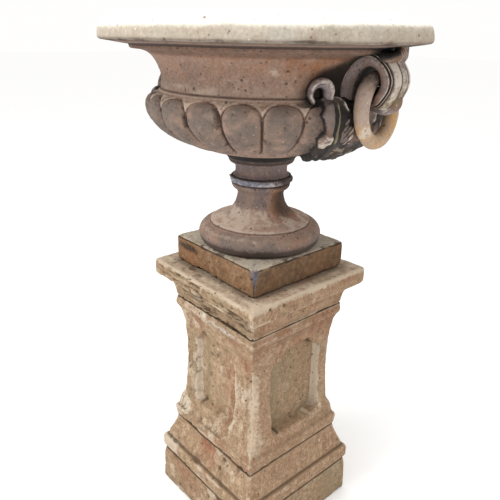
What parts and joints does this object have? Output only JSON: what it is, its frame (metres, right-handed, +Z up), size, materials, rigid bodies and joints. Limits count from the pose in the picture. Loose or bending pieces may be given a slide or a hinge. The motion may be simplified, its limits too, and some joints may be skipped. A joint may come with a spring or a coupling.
{
  "type": "garden urn on pedestal",
  "caption": "Wide gadrooned tazza urn with scroll handles that carry hanging rings, on a turned foot, square block and square panelled pedestal; holds a planting.",
  "frame": {"origin": "on the ground under the middle of the plinth", "axes": "+Z up along the urn's axis; X and Y along the square sides; handle A points 11.5 degrees from +X towards +Y, and handle B 5.5 degrees from -X towards -Y"},
  "size_m": [0.7, 0.7, 1.286],
  "materials": {
    "pedestal_clay": "weathered buff terracotta, sandy and unglazed",
    "block_clay": "stained orange-brown terracotta, unglazed",
    "urn_clay": "weathered pinkish-brown terracotta with grey lichen, unglazed",
    "handle_clay": "soot-darkened terracotta with pale worn ridges, unglazed",
    "ring_clay": "buff terracotta, unglazed",
    "mortar": "rough lime mortar"
  },
  "bodies": {
    "pedestal": {"pedestal_plinth": "pedestal_clay", "pedestal_base_moulding": "pedestal_clay", "pedestal_shaft": "pedestal_clay", "pedestal_cap": "pedestal_clay"},
    "urn": {"urn_square_block": "block_clay", "urn_socle": "urn_clay", "stem_mortar_bed": "mortar", "urn_bowl": "urn_clay", "handle_a_scroll": "handle_clay", "handle_a_leaf": "handle_clay", "handle_a_curl_left": "handle_clay", "handle_a_curl_right": "handle_clay", "handle_b_scroll": "handle_clay", "handle_b_leaf": "handle_clay", "handle_b_curl_left": "handle_clay", "handle_b_curl_right": "handle_clay"},
    "ring_a": {"handle_a_ring": "ring_clay"},
    "ring_b": {"handle_b_ring": "ring_clay"}
  },
  "joints": [
    {"name": "urn_lift_off", "type": "slide", "parent": "pedestal", "child": "urn", "axis": [0, 0, 1], "range_m": [0, 0.3]},
    {"name": "ring_a_swing", "type": "hinge", "parent": "urn", "child": "ring_a", "pos_m": [0.26654, 0.05423, 1.175], "axis": [0.1478, -0.989, 0], "range_deg": [0, 25]},
    {"name": "ring_b_swing", "type": "hinge", "parent": "urn", "child": "ring_b", "pos_m": [-0.27075, -0.02607, 1.175], "axis": [-0.0436, 0.999, 0], "range_deg": [0, 25]}
  ]
}
